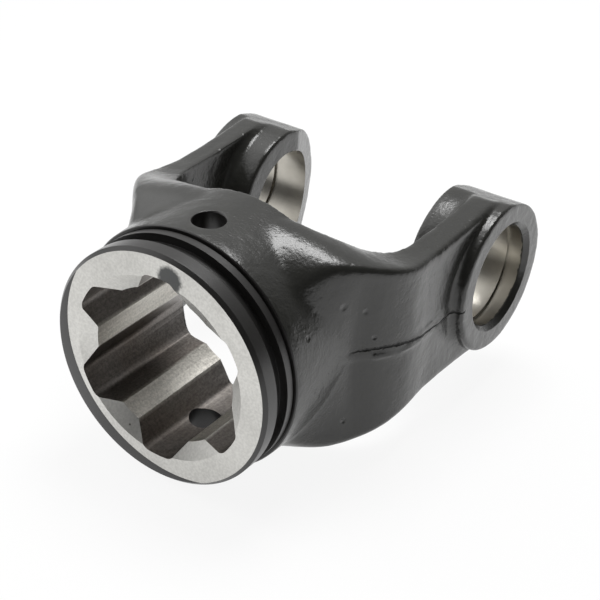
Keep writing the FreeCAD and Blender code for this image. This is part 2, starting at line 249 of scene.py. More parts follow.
@dataclass(frozen=True)
class ForgePaint:
    """Black chassis enamel over a shot-blasted steel forging.

    A thin film that follows the scale-pitted skin, so highlights break up into grains.  It is
    matt in the crease that the trimmed flash leaves, and painted near black there as painted
    shade.
    """

    paint: str = "#272725"
    paint_thin: str = "#2f2f2c"
    # near-black painted shade laid in the flash crease, where shadow falls
    crease_shade: str = "#0e0d0c"
    roughness: float = 0.26
    blast_mm: float = 0.75          # grain of the blasted skin, drawn coarser so that it shows
    ripple_mm: float = 2.6          # slow waves of the forged surface
    patch_mm: float = 11.0          # drift of the film's thickness
    pit_mm: float = 2.4             # spacing of the scale pits
    edge_mm: float = 0.25           # rounding that the film gives every edge
    relief_mm: float = 0.14         # height of the whole texture
    blast_share: float = 0.55       # heights and depths as shares of that height
    pit_share: float = 0.25
    dent_depth: float = 2.2
    crease_depth: float = 2.0
    pit_wall: tuple = (0.06, 0.2)   # where a pit's wall starts and ends, in its spacing
    crease_matt: float = 0.45       # roughness added in the crease
    seam_z_mm: float = 0.2          # height, sway and raggedness of the seam
    sway_mm: float = 1.5
    sway_per_m: float = 130.0
    sway_start: float = 8.06
    fray_mm: float = 0.9
    seam_half_mm: tuple = (0.12, 0.42)  # the crease fades between the values of each pair
    seam_out_mm: tuple = (31.0, 32.5)
    seam_front_mm: tuple = (-57.0, -50.0)
    seam_back_mm: tuple = (-19.0, -18.0)
    # Marks of the dies that show singly: place and radius.
    dents_mm: tuple = ((-57.8, -30.9, 14.6, 1.3), (-69.5, -29.2, 11.4, 1.0),
                       (-56.0, -31.9, -17.6, 1.0), (-52.3, -33.6, 11.9, 1.1),
                       (-50.1, -35.2, 4.4, 0.9))

    def make(self) -> bpy.types.Material:
        """Builds the material.

        Returns:
            The finished material.
        """
        material, tree = fresh("black_enamel_on_blasted_forging")
        place = put(tree, "TexCoord").outputs["Object"]
        blast = put(tree, "TexNoise", {
            "Vector": place, "Scale": 1 / (self.blast_mm * MM), "Detail": 3.0, "Roughness": 0.6})
        ripple = put(tree, "TexNoise", {
            "Vector": place, "Scale": 1 / (self.ripple_mm * MM), "Detail": 2.0})
        patch = put(tree, "TexNoise", {
            "Vector": place, "Scale": 1 / (self.patch_mm * MM), "Detail": 3.0, "Roughness": 0.6})
        pits = put(tree, "TexVoronoi", {"Vector": place, "Scale": 1 / (self.pit_mm * MM)})
        pit = put(tree, "MapRange", {
            "Value": pits.outputs["Distance"], "From Min": self.pit_wall[0],
            "From Max": self.pit_wall[1]})
        height = put(tree, "Math", {
            0: blast, 1: self.blast_share, 2: ripple}, operation="MULTIPLY_ADD").outputs[0]
        height = put(tree, "Math", {
            0: pit, 1: self.pit_share, 2: height}, operation="MULTIPLY_ADD").outputs[0]
        for x, y, z, r in self.dents_mm:
            gap = put(tree, "VectorMath", {
                0: place, 1: (x * MM, y * MM, z * MM)}, operation="DISTANCE")
            bowl = put(tree, "MapRange", {
                "Value": gap, "From Max": r * MM, "To Min": -self.dent_depth, "To Max": 0.0},
                interpolation_type="SMOOTHSTEP")
            height = put(tree, "Math", {0: height, 1: bowl}, operation="ADD").outputs[0]
        seam = self.seam(tree, place)
        height = put(tree, "Math", {
            0: seam, 1: -self.crease_depth, 2: height}, operation="MULTIPLY_ADD").outputs[0]
        round_edge = put(tree, "Bevel", {"Radius": self.edge_mm * MM}, samples=4)
        bump = put(tree, "Bump", {
            "Height": height, "Distance": self.relief_mm * MM, "Strength": 0.9,
            "Normal": round_edge})
        film = put(tree, "Mix", {
            "Factor": patch, "A": linear(self.paint), "B": linear(self.paint_thin)},
            data_type="RGBA")
        # painted shade: the seam mask darkens the flash crease towards near black
        film = put(tree, "Mix", {
            "Factor": seam, "A": film, "B": linear(self.crease_shade)}, data_type="RGBA")
        rough = put(tree, "Math", {
            0: seam, 1: self.crease_matt, 2: self.roughness}, operation="MULTIPLY_ADD")
        shader = put(tree, "BsdfPrincipled", {
            "Base Color": film, "Roughness": rough, "IOR": 1.5, "Normal": bump})
        put(tree, "OutputMaterial", {"Surface": shader})
        return material

    def seam(self, tree: bpy.types.NodeTree, place: bpy.types.NodeSocket) -> bpy.types.NodeSocket:
        """Adds the mask of the crease that the trimmed flash leaves along both arms: its bump
        groove, its matt finish and its painted shade.

        Args:
            tree: the material's node tree.
            place: the point in the row frame.

        Returns:
            Cover of the crease, 0 to 1.
        """
        axes = put(tree, "SeparateXYZ", {0: place})
        slow = put(tree, "Math", {
            0: axes.outputs["X"], 1: self.sway_per_m, 2: self.sway_start},
            operation="MULTIPLY_ADD")
        swing = put(tree, "Math", {0: slow}, operation="SINE")
        frayed = put(tree, "TexNoise", {
            "Vector": place, "Scale": 1 / (self.fray_mm * MM), "Detail": 2.0})
        line = put(tree, "Math", {
            0: swing, 1: -self.sway_mm * MM, 2: axes.outputs["Z"]}, operation="MULTIPLY_ADD")
        line = put(tree, "Math", {
            0: frayed, 1: self.fray_mm * MM, 2: line}, operation="MULTIPLY_ADD")
        gap = put(tree, "Math", {0: line, 1: -self.seam_z_mm * MM}, operation="ADD")
        gap = put(tree, "Math", {0: gap}, operation="ABSOLUTE")
        thin = put(tree, "MapRange", {
            "Value": gap, "From Min": self.seam_half_mm[0] * MM,
            "From Max": self.seam_half_mm[1] * MM, "To Min": 1.0, "To Max": 0.0})
        side = put(tree, "Math", {0: axes.outputs["Y"]}, operation="ABSOLUTE")
        outside = put(tree, "MapRange", {
            "Value": side, "From Min": self.seam_out_mm[0] * MM,
            "From Max": self.seam_out_mm[1] * MM})
        front = put(tree, "MapRange", {
            "Value": axes.outputs["X"], "From Min": self.seam_front_mm[0] * MM,
            "From Max": self.seam_front_mm[1] * MM})
        back = put(tree, "MapRange", {
            "Value": axes.outputs["X"], "From Min": self.seam_back_mm[0] * MM,
            "From Max": self.seam_back_mm[1] * MM, "To Min": 1.0, "To Max": 0.0})
        cover = thin.outputs["Result"]
        for part in (outside, front, back):
            cover = put(tree, "Math", {0: cover, 1: part}, operation="MULTIPLY").outputs[0]
        return cover


@dataclass(frozen=True)
class TurnedPaint:
    """The same enamel over the lathe-turned collar: smoother, with faint rings."""

    paint: str = "#262524"
    roughness: float = 0.32
    feed_mm: float = 0.35           # ring spacing of the turning cut
    ring_share: float = 0.12        # height of the rings beside the film's own grain
    grain_mm: float = 0.5
    edge_mm: float = 0.2            # rounding that the film gives every edge
    relief_mm: float = 0.03

    def make(self) -> bpy.types.Material:
        """Builds the material.

        Returns:
            The finished material.
        """
        material, tree = fresh("black_enamel_on_turned_steel")
        place = put(tree, "TexCoord").outputs["Object"]
        axes = put(tree, "SeparateXYZ", {0: place})
        grain = put(tree, "TexNoise", {
            "Vector": place, "Scale": 1 / (self.grain_mm * MM), "Detail": 2.0})
        turn = put(tree, "Math", {
            0: axes.outputs["X"], 1: math.tau / (self.feed_mm * MM)}, operation="MULTIPLY")
        ring = put(tree, "Math", {0: turn}, operation="SINE")
        height = put(tree, "Math", {
            0: ring, 1: self.ring_share, 2: grain}, operation="MULTIPLY_ADD")
        round_edge = put(tree, "Bevel", {"Radius": self.edge_mm * MM}, samples=4)
        bump = put(tree, "Bump", {
            "Height": height, "Distance": self.relief_mm * MM, "Strength": 0.6,
            "Normal": round_edge})
        shader = put(tree, "BsdfPrincipled", {
            "Base Color": linear(self.paint), "Roughness": self.roughness, "IOR": 1.5,
            "Normal": bump})
        put(tree, "OutputMaterial", {"Surface": shader})
        return material


@dataclass(frozen=True)
class FacedSteel:
    """Bright mild steel, faced on a lathe and left bare: even satin grey with pits and rust."""

    steel: str = "#c2c1bd"
    dark: str = "#5a5853"
    rust: str = "#7a4a35"
    spray: str = "#454746"
    roughness: float = 0.42
    ring_mm: float = 0.25           # feed of the facing cut
    grain_mm: float = 0.6
    cloud_mm: float = 9.0           # slow change of gloss
    relief_mm: float = 0.02
    pit_mm: float = 3.2             # spacing of the places where a pit may sit
    pit_share: float = 0.7          # share of them that are pitted, and that are rusty
    rust_share: float = 0.35
    pit_wall: tuple = (0.05, 0.11)  # where a pit's wall starts and ends, in its spacing
    ring_share: float = 0.35        # height of the rings beside the grain
    fleck: tuple = (0.9, 1.06)      # brightness of the darkest and the lightest grain
    gloss_drift: tuple = (-0.04, 0.06)
    blot_mm: tuple = (HUB_END, -3.3, 25.1)
    blot_r_mm: tuple = (3.2, 4.3)   # radius where the blot is full, and where it ends
    blot_fray_mm: float = 1.2

    def make(self) -> bpy.types.Material:
        """Builds the material.

        Returns:
            The finished material.
        """
        material, tree = fresh("faced_mild_steel")
        place = put(tree, "TexCoord").outputs["Object"]
        axes = put(tree, "SeparateXYZ", {0: place})
        flat = put(tree, "CombineXYZ", {"Y": axes.outputs["Y"], "Z": axes.outputs["Z"]})
        reach = put(tree, "VectorMath", {0: flat}, operation="LENGTH")
        rings = put(tree, "TexNoise", {
            "W": reach, "Scale": 1 / (self.ring_mm * MM), "Detail": 2.0}, noise_dimensions="1D")
        grain = put(tree, "TexNoise", {
            "Vector": place, "Scale": 1 / (self.grain_mm * MM), "Detail": 3.0})
        cloud = put(tree, "TexNoise", {
            "Vector": place, "Scale": 1 / (self.cloud_mm * MM), "Detail": 2.0})
        pits = put(tree, "TexVoronoi", {"Vector": place, "Scale": 1 / (self.pit_mm * MM)})
        few = put(tree, "SeparateColor", {0: pits.outputs["Color"]})
        small = put(tree, "MapRange", {
            "Value": pits.outputs["Distance"], "From Min": self.pit_wall[0],
            "From Max": self.pit_wall[1], "To Min": 1.0, "To Max": 0.0})
        chosen = put(tree, "Math", {
            0: few.outputs["Red"], 1: self.pit_share}, operation="LESS_THAN")
        pit = put(tree, "Math", {0: small, 1: chosen}, operation="MULTIPLY").outputs[0]
        rusty = put(tree, "Math", {
            0: few.outputs["Green"], 1: self.rust_share}, operation="LESS_THAN")
        spot = put(tree, "Mix", {
            "Factor": rusty, "A": linear(self.dark), "B": linear(self.rust)}, data_type="RGBA")
        fleck = put(tree, "MapRange", {
            "Value": grain, "From Min": NARROW[0], "From Max": NARROW[1],
            "To Min": self.fleck[0], "To Max": self.fleck[1]})
        bright = put(tree, "Mix", {
            "Factor": 1.0, "A": linear(self.steel), "B": fleck},
            data_type="RGBA", blend_type="MULTIPLY")
        colour = put(tree, "Mix", {"Factor": pit, "A": bright, "B": spot}, data_type="RGBA")
        mist = self.overspray(tree, place, grain.outputs["Fac"])
        colour = put(tree, "Mix", {
            "Factor": mist, "A": colour, "B": linear(self.spray)}, data_type="RGBA")
        bare = put(tree, "Math", {0: 1.0, 1: mist}, operation="SUBTRACT")
        rough = put(tree, "MapRange", {
            "Value": cloud, "From Min": WIDE[0], "From Max": WIDE[1],
            "To Min": self.roughness + self.gloss_drift[0],
            "To Max": self.roughness + self.gloss_drift[1]})
        height = put(tree, "Math", {
            0: rings, 1: self.ring_share, 2: grain}, operation="MULTIPLY_ADD")
        bump = put(tree, "Bump", {
            "Height": height, "Distance": self.relief_mm * MM, "Strength": 0.6})
        shader = put(tree, "BsdfPrincipled", {
            "Base Color": colour, "Metallic": bare, "Roughness": rough, "Normal": bump})
        put(tree, "OutputMaterial", {"Surface": shader})
        return material

    def overspray(self, tree: bpy.types.NodeTree, place: bpy.types.NodeSocket,
                  grain: bpy.types.NodeSocket) -> bpy.types.NodeSocket:
        """Adds the blot of black overspray beside the top lobe.

        Args:
            tree: the material's node tree.
            place: the point in the row frame.
            grain: a fine noise that frays the blot's edge.

        Returns:
            Cover of the blot, 0 to 1.
        """
        gap = put(tree, "VectorMath", {
            0: place, 1: tuple((v * MM for v in self.blot_mm))}, operation="DISTANCE")
        frayed = put(tree, "Math", {
            0: grain, 1: self.blot_fray_mm * MM, 2: gap}, operation="MULTIPLY_ADD")
        return put(tree, "MapRange", {
            "Value": frayed, "From Min": self.blot_r_mm[0] * MM,
            "From Max": self.blot_r_mm[1] * MM, "To Min": 1.0, "To Max": 0.0}).outputs["Result"]


@dataclass(frozen=True)
class BroachedSteel:
    """Bare carbon steel cut by a broach: lengthwise streaks, oiled and browned in the lobes."""

    steel: str = "#8a8886"
    brown: str = "#70665d"
    tooth: str = "#bbb8b1"
    roughness: float = 0.42
    tooth_r_mm: float = TOOTH_R
    tip_fade_mm: tuple = (0.1, 0.6)  # depth over which the tooth's finish ends
    drawn: float = 0.04             # squeeze of the streaks along the bore
    streak_mm: float = 0.5
    grain_mm: float = 0.7
    cloud_mm: float = 14.0          # size of the browned patches
    relief_mm: float = 0.06
    streak_share: float = 0.3       # height of the streaks beside the grain
    shade: tuple = (0.86, 1.06)     # darkest and lightest streak, and the same of the grain
    speck: tuple = (0.72, 1.2)
    gloss_drift: tuple = (-0.06, 0.1)

    def make(self) -> bpy.types.Material:
        """Builds the material.

        Returns:
            The finished material.
        """
        material, tree = fresh("broached_carbon_steel")
        place = put(tree, "TexCoord").outputs["Object"]
        axes = put(tree, "SeparateXYZ", {0: place})
        flat = put(tree, "CombineXYZ", {"Y": axes.outputs["Y"], "Z": axes.outputs["Z"]})
        reach = put(tree, "VectorMath", {0: flat}, operation="LENGTH")
        drawn = put(tree, "Mapping", {"Vector": place, "Scale": (self.drawn, 1.0, 1.0)})
        streak = put(tree, "TexNoise", {
            "Vector": drawn, "Scale": 1 / (self.streak_mm * MM), "Detail": 3.0})
        grain = put(tree, "TexNoise", {
            "Vector": place, "Scale": 1 / (self.grain_mm * MM), "Detail": 3.0, "Roughness": 0.7})
        cloud = put(tree, "TexNoise", {
            "Vector": place, "Scale": 1 / (self.cloud_mm * MM), "Detail": 2.0})
        tip = put(tree, "MapRange", {
            "Value": reach, "From Min": (self.tooth_r_mm + self.tip_fade_mm[0]) * MM,
            "From Max": (self.tooth_r_mm + self.tip_fade_mm[1]) * MM, "To Min": 1.0,
            "To Max": 0.0})
        lobe = put(tree, "Mix", {
            "Factor": cloud, "A": linear(self.steel), "B": linear(self.brown)}, data_type="RGBA")
        base = put(tree, "Mix", {
            "Factor": tip, "A": lobe, "B": linear(self.tooth)}, data_type="RGBA")
        shade = put(tree, "MapRange", {
            "Value": streak, "From Min": WIDE[0], "From Max": WIDE[1],
            "To Min": self.shade[0], "To Max": self.shade[1]})
        colour = put(tree, "Mix", {
            "Factor": 1.0, "A": base, "B": shade}, data_type="RGBA", blend_type="MULTIPLY")
        speck = put(tree, "MapRange", {
            "Value": grain, "From Min": NARROW[0], "From Max": NARROW[1],
            "To Min": self.speck[0], "To Max": self.speck[1]})
        colour = put(tree, "Mix", {
            "Factor": 1.0, "A": colour, "B": speck}, data_type="RGBA", blend_type="MULTIPLY")
        height = put(tree, "Math", {
            0: streak, 1: self.streak_share, 2: grain}, operation="MULTIPLY_ADD")
        bump = put(tree, "Bump", {
            "Height": height, "Distance": self.relief_mm * MM, "Strength": 0.7})
        rough = put(tree, "MapRange", {
            "Value": grain, "From Min": WIDE[0], "From Max": WIDE[1],
            "To Min": self.roughness + self.gloss_drift[0],
            "To Max": self.roughness + self.gloss_drift[1]})
        shader = put(tree, "BsdfPrincipled", {
            "Base Color": colour, "Metallic": 1.0, "Roughness": rough, "Normal": bump})
        put(tree, "OutputMaterial", {"Surface": shader})
        return material


@dataclass(frozen=True)
class BoredSteel:
    """Bare steel from a boring bar: bright satin with fine rings round the bore."""

    steel: str = "#b7b4ac"
    shade: str = "#908c84"
    paint: str = "#2a2926"
    paint_from_mm: float = 40.9     # distance from the middle at which overspray begins
    roughness: float = 0.31
    feed_mm: float = 0.22           # ring spacing of the boring cut
    drawn: float = 0.05             # squeeze of the rings round the bore
    cloud_mm: float = 6.0
    relief_mm: float = 0.02
    fray_mm: float = 1.6            # size and depth of the overspray's ragged edge
    fray_depth_mm: float = 1.2
    paint_fade_mm: float = 0.25

    def make(self) -> bpy.types.Material:
        """Builds the material.

        Returns:
            The finished material.
        """
        material, tree = fresh("bored_carbon_steel")
        place = put(tree, "TexCoord").outputs["Object"]
        ringed = put(tree, "Mapping", {"Vector": place, "Scale": (self.drawn, 1.0, self.drawn)})
        ring = put(tree, "TexNoise", {
            "Vector": ringed, "Scale": 1 / (self.feed_mm * MM), "Detail": 2.0})
        cloud = put(tree, "TexNoise", {
            "Vector": place, "Scale": 1 / (self.cloud_mm * MM), "Detail": 3.0})
        colour = put(tree, "Mix", {
            "Factor": cloud, "A": linear(self.steel), "B": linear(self.shade)}, data_type="RGBA")
        bump = put(tree, "Bump", {
            "Height": ring, "Distance": self.relief_mm * MM, "Strength": 0.6})
        axes = put(tree, "SeparateXYZ", {0: place})
        side = put(tree, "Math", {0: axes.outputs["Y"]}, operation="ABSOLUTE")
        fray = put(tree, "TexNoise", {
            "Vector": place, "Scale": 1 / (self.fray_mm * MM), "Detail": 3.0})
        edge = put(tree, "Math", {
            0: fray, 1: self.fray_depth_mm * MM, 2: side}, operation="MULTIPLY_ADD")
        paint = put(tree, "MapRange", {
            "Value": edge, "From Min": self.paint_from_mm * MM,
            "From Max": (self.paint_from_mm + self.paint_fade_mm) * MM})
        colour = put(tree, "Mix", {
            "Factor": paint, "A": colour, "B": linear(self.paint)}, data_type="RGBA")
        bare = put(tree, "Math", {0: 1.0, 1: paint}, operation="SUBTRACT")
        shader = put(tree, "BsdfPrincipled", {
            "Base Color": colour, "Metallic": bare, "Roughness": self.roughness, "Normal": bump})
        put(tree, "OutputMaterial", {"Surface": shader})
        return material


@dataclass(frozen=True)
class Finishes:
    """The yoke's finishes, made once."""

    forge: bpy.types.Material
    collar: bpy.types.Material
    face: bpy.types.Material
    broach: bpy.types.Material
    bore: bpy.types.Material

    @classmethod
    def make(cls) -> "Finishes":
        """Builds every finish.

        Returns:
            The set of finishes.
        """
        return cls(ForgePaint().make(), TurnedPaint().make(), FacedSteel().make(),
                   BroachedSteel().make(), BoredSteel().make())


# ---- the blank and its tools ---------------------------------------------------------------


@dataclass(frozen=True)
class ForgedBlank:
    """The forging before machining, with the soft edges that dies and blasting leave.

    Sizes in mm are those of the solid.
    """

    hub_end: float = HUB_END
    hub_plug_r: float = 31.1
    hub_plug_to: float = -75.0
    pin_x: float = PIN_X
    pin_plug_r: float = 4.3
    pin_plug_z: float = 31.0
    core_r: float = 27.0
    plug_over: float = 1.5          # how far the plugs stand past the faces they fill
    core_over: float = 1.0
    core_into: float = 3.0
    slot_floor: float = -51.1
    draft_deg: float = 3.0
    ear_out: float = EAR_OUT
    ear_in: float = EAR_IN
    ear_plug_r: float = 16.2
    ear_r: float = 20.0
    bevel_x: float = 4.6
    bevel_deg: float = 18.0
    grid: float = 0.55              # spacing of the remeshed skin
    soften: int = 30                # smoothing passes on the free-flowing skin
    trim_soften: int = 2            # and on every edge
    ear_from: float = -24.0         # where the ears' own weights of smoothing begin
    rim_out: float = 2.5
    rim_in: float = 2.0
    rim_clear: float = 3.0
    soft_rim: float = 0.02
    soft_root: float = 0.35
    soft_arm: float = 0.12
    soft_from: float = -54.0        # towards the hub the skin grows fully soft
    soft_over: float = 8.0
    wave_mm: float = 0.16           # depth of the slow unevenness of the forged skin
    wave_size_mm: float = 5.0
    flash_mm: float = 0.45          # height of the trimmed flash seam
    flash_from: float = -57.0
    flash_to: float = -20.0
    flash_z: float = -0.8
    flash_out: float = 35.0         # the seam shows only this far from the middle
    flash_fade: float = 6.0
    flash_wander: tuple = ((0.35, 0.45), (0.2, 1.3))    # height and radians per mm of two waves
    flash_sway: tuple = (0.4, 0.13, -62.0)  # height, radians per mm and start of a long wave
    ridge: tuple = (-1.0, 0.8)      # middle and half width of the ridge, and of the groove
    groove: tuple = (0.5, 0.55)

    def plugs(self) -> list[bpy.types.Object]:
        """Makes the bodies that fill every machined hollow of the solid.

        Returns:
            The plugs for hub, lobed bore, pin hole and both ears.
        """
        front, back = self.hub_end - self.plug_over, self.hub_plug_to
        hub = turned("hub_plug", [(front, 0.0), (front, self.hub_plug_r), (back, self.hub_plug_r),
                                  (back, 0.0)], Along.X, steps=192)
        front, back = self.hub_end - self.core_over, self.slot_floor + self.core_into
        core = turned("core_plug", [(front, 0.0), (front, self.core_r), (back, self.core_r),
                                    (back, 0.0)], Along.X, steps=96)
        pin = turned("pin_plug", [(-self.pin_plug_z, 0.0), (-self.pin_plug_z, self.pin_plug_r),
                                  (self.pin_plug_z, self.pin_plug_r), (self.pin_plug_z, 0.0)],
                     Along.Z, Vector((self.pin_x * MM, 0.0, 0.0)), steps=48)
        lean = math.tan(math.radians(self.draft_deg))
        fall = math.tan(math.radians(self.bevel_deg))
        made = [hub, core, pin]
        for side in (1, -1):
            trim(core, Vector((self.slot_floor * MM, 0.0, 0.0)), Vector((1.0, 0.0, side * lean)))
            ends = sorted((side * self.ear_in, side * self.ear_out))
            ear = turned("ear_plug", [(ends[0], 0.0), (ends[0], self.ear_plug_r),
                                      (ends[1], self.ear_plug_r), (ends[1], 0.0)],
                         Along.Y, steps=96)
            trim(ear, Vector((self.bevel_x, side * self.ear_in, 0.0)) * MM,
                 Vector((fall, -side, 0.0)))
            made.append(ear)
        return made

    def softness(self, place: Vector) -> float:
        """Tells how far the dies' radii may flow at a place: least on the ear rings.

        Args:
            place: a point of the skin, in mm.

        Returns:
            Weight of the smoothing, 0 to 1.
        """
        ring = math.hypot(place.x, place.z)
        side = abs(place.y)
        near = max(side - (self.ear_out - self.rim_out), self.ear_in + self.rim_in - side)
        if place.x > self.ear_from and near > 0.0 and ring < self.ear_r + self.rim_clear:
            return self.soft_rim
        if place.x > self.ear_from and ring > self.ear_r:
            return self.soft_root
        share = max(0.0, min(1.0, (self.soft_from - place.x) / self.soft_over))
        return self.soft_arm + (1.0 - self.soft_arm) * share

    def seam(self, place: Vector) -> float:
        """Tells how high the trimmed flash stands at a place on the arms' sides.

        Args:
            place: a point of the skin, in mm.

        Returns:
            Share of the flash height, -1 to 1: a ragged ridge over a shallow groove.
        """
        if abs(place.y) < self.flash_out or not self.flash_from < place.x < self.flash_to:
            return 0.0
        ends = min(place.x - self.flash_from, self.flash_to - place.x) / self.flash_fade
        (tall, slow), (small, fast) = self.flash_wander
        wander = tall * math.sin(place.x * slow) + small * math.sin(place.x * fast + place.y)
        sway, pace, start = self.flash_sway
        off = place.z - self.flash_z - wander - sway * math.sin((place.x - start) * pace)
        ridge = math.exp(-((off - self.ridge[0]) / self.ridge[1]) ** 2)
        groove = math.exp(-((off - self.groove[0]) / self.groove[1]) ** 2)
        return max(0.0, min(1.0, ends)) * (ridge - groove)

    def weigh(self, piece: bpy.types.Object, name: str, rule: Callable[[Vector], float]) -> None:
        """Adds a vertex group weighted by place.

        Args:
            piece: the object.
            name: name of the group.
            rule: weight, 0 to 1, of a point in mm.
        """
        group = piece.vertex_groups.new(name=name)
        for vertex in piece.data.vertices:
            group.add([vertex.index], rule(vertex.co / MM), "REPLACE")

    def make(self, node: bpy.types.Object, paint: bpy.types.Material) -> bpy.types.Object:
        """Fills the solid's hollows and softens it to a forging.

        Args:
            node: the CAD node, which is only read.
            paint: finish of the forged skin.

        Returns:
            The blank as one closed body.
        """
        blank = bpy.data.objects.new("yoke_body", node.data.copy())
        bpy.context.scene.collection.objects.link(blank)
        edit_all(blank)
        bpy.ops.mesh.remove_doubles(threshold=NEAR_M)
        bpy.ops.object.mode_set(mode="OBJECT")
        bpy.ops.mesh.customdata_custom_splitnormals_clear()
        plugs = self.plugs()
        focus(blank)
        for plug in plugs:
            plug.select_set(True)
        bpy.ops.object.join()
        blank.data.remesh_voxel_size = self.grid * MM
        blank.data.use_remesh_fix_poles = False
        bpy.ops.object.voxel_remesh()
        self.weigh(blank, "soft", self.softness)
        apply_modifier(blank, "SMOOTH", factor=0.5, iterations=self.soften, vertex_group="soft")
        self.weigh(blank, "seam", lambda place: 0.5 + 0.5 * self.seam(place))
        apply_modifier(blank, "DISPLACE", strength=2 * self.flash_mm * MM, mid_level=0.5,
                       direction="NORMAL", vertex_group="seam")
        apply_modifier(blank, "DISPLACE", strength=-self.flash_mm * MM, mid_level=0.5,
                       direction="NORMAL")
        apply_modifier(blank, "SMOOTH", factor=0.5, iterations=self.trim_soften)
        wave = bpy.data.textures.new("forged_unevenness", "CLOUDS")
        wave.noise_scale = self.wave_size_mm * MM
        wave.noise_depth = 2
        apply_modifier(blank, "DISPLACE", texture=wave, texture_coords="LOCAL",
                       strength=self.wave_mm * MM, mid_level=0.5)
        blank.vertex_groups.clear()
        blank.data.materials.clear()
        blank.data.materials.append(paint)
        return blank


@dataclass(frozen=True)
class CollarTool:
    """Lathe work on the hub: facing cut, lip, guard groove, land, relief and shoulder."""

    hub_end: float = HUB_END
    face_chamfer: float = 0.9
    lip_r: float = 30.4
    lip_back: float = -82.4
    groove_r: float = 28.3
    land_x: float = -78.4
    land_back: float = -76.3
    relief_r: float = 29.9
    shoulder_x: float = -75.8
    shoulder_r: float = HUB_R
    shoulder_chamfer: float = 0.4
    run_out: float = 1.0            # how far the cut runs on past the shoulder's chamfer
    skin_deg: float = 140.0
    skin_offset: float = 5.6
    skin_r: float = 31.3
    skin_slope: float = 0.131
    skin_run: float = 14.0
    reach: float = 42.0             # the tools end this far out, clear of the hub
    clear: float = 6.0
    skin_clear: float = 2.0

    def make(self, finishes: Finishes) -> list[bpy.types.Object]:
        """Builds the lathe cut and the cut that follows the skin the facing missed.

        Args:
            finishes: the yoke's finishes.

        Returns:
            Both cutting bodies, dressed in the finish they leave behind.
        """
        end = self.shoulder_x + self.shoulder_chamfer + self.run_out
        lathe = turned("collar_tool", [
            (self.hub_end, 0.0), (self.hub_end, self.lip_r - self.face_chamfer),
            (self.hub_end + self.face_chamfer, self.lip_r), (self.lip_back, self.lip_r),
            (self.lip_back, self.groove_r), (self.land_x, self.groove_r),
            (self.land_x, self.lip_r), (self.land_back, self.lip_r),
            (self.land_back, self.relief_r), (self.shoulder_x, self.relief_r),
            (self.shoulder_x, self.shoulder_r - self.shoulder_chamfer),
            (end, self.shoulder_r + self.run_out), (end, self.reach),
            (self.hub_end - self.clear, self.reach),
            (self.hub_end - self.clear, 0.0)], Along.X, steps=256)
        lathe.data.materials.append(finishes.collar)
        lathe.data.materials.append(finishes.face)
        for face in lathe.data.polygons:
            if abs(face.center.x - self.hub_end * MM) < NEAR_M:
                face.material_index = 1
        turn = math.radians(self.skin_deg)
        centre = Vector((0.0, math.cos(turn), math.sin(turn))) * self.skin_offset * MM
        run = self.skin_run
        skin = turned("skin_tool", [
            (self.hub_end, self.skin_r), (self.hub_end + run * self.skin_slope, self.skin_r + run),
            (self.hub_end - self.skin_clear, self.skin_r + run),
            (self.hub_end - self.skin_clear, self.skin_r)],
            Along.X, centre, steps=256, closed=True)
        skin.data.materials.append(finishes.collar)
        return [lathe, skin]


